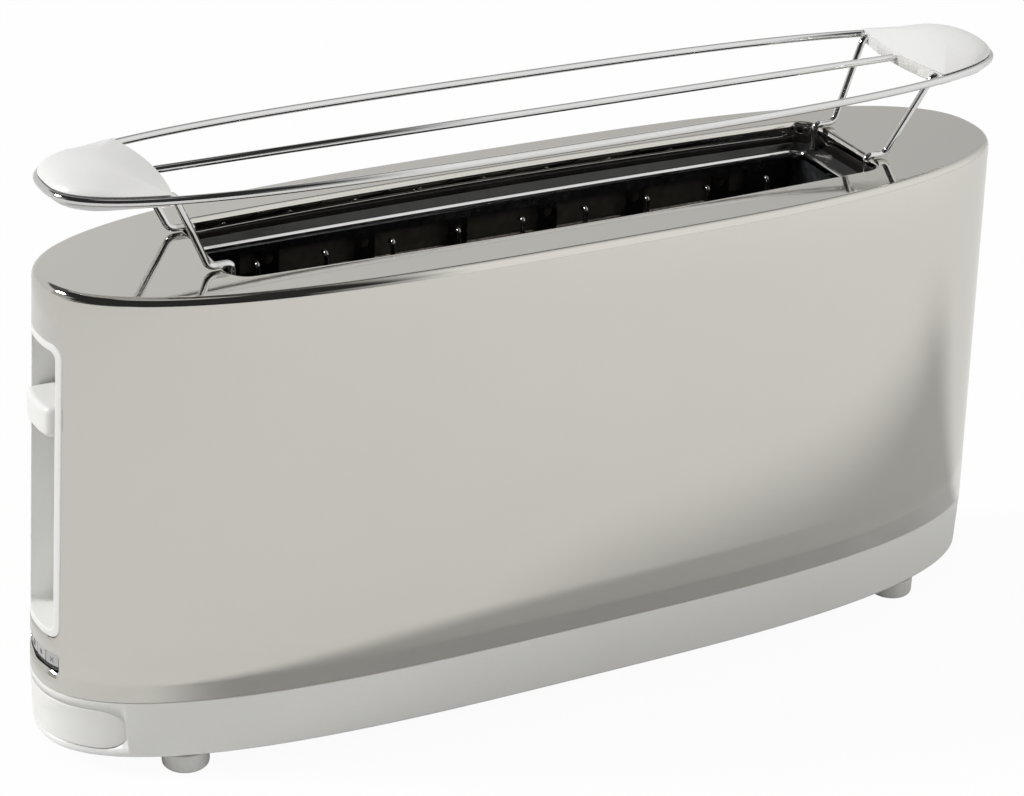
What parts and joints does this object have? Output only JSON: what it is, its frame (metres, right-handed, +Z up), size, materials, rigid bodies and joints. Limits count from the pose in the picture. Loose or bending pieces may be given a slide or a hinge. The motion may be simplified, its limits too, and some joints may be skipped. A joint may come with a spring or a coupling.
{
  "type": "toaster",
  "caption": "Long slot toaster with a polished steel casing, a moulded base, an end lever with keys, a crumb tray and a lift-off warming rack.",
  "frame": {"origin": "on the table, under the middle of the casing", "axes": "+X along the casing away from the lever, +Y to the back, +Z up"},
  "size_m": [0.412, 0.1046, 0.2339],
  "materials": {
    "polished_steel": "mirror polished",
    "bright_chrome": "bright",
    "white_plastic": "soft gloss",
    "grey_plastic": "satin",
    "dark_plastic": "matte",
    "plated_sheet": "zinc plated",
    "dark_sheet": "heat darkened",
    "spring_steel": "satin",
    "mica": "matte flakes",
    "heater_alloy": "oxidised",
    "board": "lacquered",
    "copper": "enamelled wire",
    "rubber": "matte",
    "lead_sleeve": "matte glass sleeve"
  },
  "bodies": {
    "casing": {"casing_shell": "polished_steel", "slot_frame": "bright_chrome", "base_skirt": "white_plastic", "floor_plate": "plated_sheet", "foot_left_front": "rubber", "foot_left_back": "rubber", "foot_right_front": "rubber", "foot_right_back": "rubber", "screw_left_front": "spring_steel", "screw_left_back": "spring_steel", "screw_right_front": "spring_steel", "screw_right_back": "spring_steel", "chassis_end_left": "plated_sheet", "chassis_end_right": "plated_sheet", "reflector_front": "dark_sheet", "reflector_back": "dark_sheet", "heater_board_front": "mica", "heater_board_back": "mica", "heater_ribbon_front": "heater_alloy", "heater_ribbon_back": "heater_alloy", "heat_shield_front": "plated_sheet", "heat_shield_back": "plated_sheet", "guide_rod_front": "bright_chrome", "guide_rod_back": "bright_chrome", "guide_rod_right": "bright_chrome", "lift_spring": "spring_steel", "lever_bezel": "white_plastic", "key_housing": "dark_plastic", "key_board": "board", "control_board": "board", "relay": "dark_plastic", "capacitor": "dark_plastic", "latch_magnet": "copper", "terminal_block": "white_plastic", "lead_front": "lead_sleeve", "lead_back": "lead_sleeve", "cord_gland": "rubber"},
    "lever": {"carriage": "dark_plastic", "latch_keeper": "spring_steel", "lever_arm": "spring_steel", "lever_knob": "white_plastic", "bread_lift": "bright_chrome", "lift_slider": "dark_plastic"},
    "guide_front": {"bread_guide_front": "bright_chrome"},
    "guide_back": {"bread_guide_back": "bright_chrome"},
    "browning_key": {"key_browning": "grey_plastic"},
    "reheat_key": {"key_reheat": "grey_plastic"},
    "defrost_key": {"key_defrost": "grey_plastic"},
    "stop_key": {"key_stop": "grey_plastic"},
    "tray": {"crumb_tray": "plated_sheet", "tray_front": "white_plastic"},
    "rack": {"rack_loop": "bright_chrome", "rack_middle_wire": "bright_chrome", "rack_cap_left": "white_plastic", "rack_cap_right": "white_plastic", "rack_leg_left_front": "bright_chrome", "rack_leg_left_back": "bright_chrome", "rack_leg_right_front": "bright_chrome", "rack_leg_right_back": "bright_chrome"}
  },
  "joints": [
    {"name": "lever_travel", "type": "slide", "parent": "casing", "child": "lever", "axis": [0, 0, 1], "range_m": [-0.06, 0.018], "stiffness_N_per_m": 80, "springref_m": 0.0076, "deforming": ["lift_spring"]},
    {"name": "guide_front_close", "type": "slide", "parent": "casing", "child": "guide_front", "axis": [0, 1, 0], "range_m": [-0.0024, 0.008]},
    {"name": "guide_back_close", "type": "slide", "parent": "casing", "child": "guide_back", "axis": [0, -1, 0], "range_m": [-0.0024, 0.008]},
    {"name": "browning_press", "type": "slide", "parent": "casing", "child": "browning_key", "axis": [1, 0, 0], "range_m": [0, 0.0015], "stiffness_N_per_m": 300},
    {"name": "reheat_press", "type": "slide", "parent": "casing", "child": "reheat_key", "axis": [1, 0, 0], "range_m": [0, 0.0015], "stiffness_N_per_m": 300},
    {"name": "defrost_press", "type": "slide", "parent": "casing", "child": "defrost_key", "axis": [1, 0, 0], "range_m": [0, 0.0015], "stiffness_N_per_m": 300},
    {"name": "stop_press", "type": "slide", "parent": "casing", "child": "stop_key", "axis": [1, 0, 0], "range_m": [0, 0.0015], "stiffness_N_per_m": 300},
    {"name": "tray_slide", "type": "slide", "parent": "casing", "child": "tray", "axis": [-1, 0, 0], "range_m": [0, 0.3]},
    {"name": "rack_lift", "type": "slide", "parent": "casing", "child": "rack", "axis": [0, 0, 1], "range_m": [0, 0.06]}
  ],
  "couplings": [
    {"joint": "guide_front_close", "follows": "lever_travel", "ratio": -0.1333},
    {"joint": "guide_back_close", "follows": "lever_travel", "ratio": -0.1333}
  ]
}
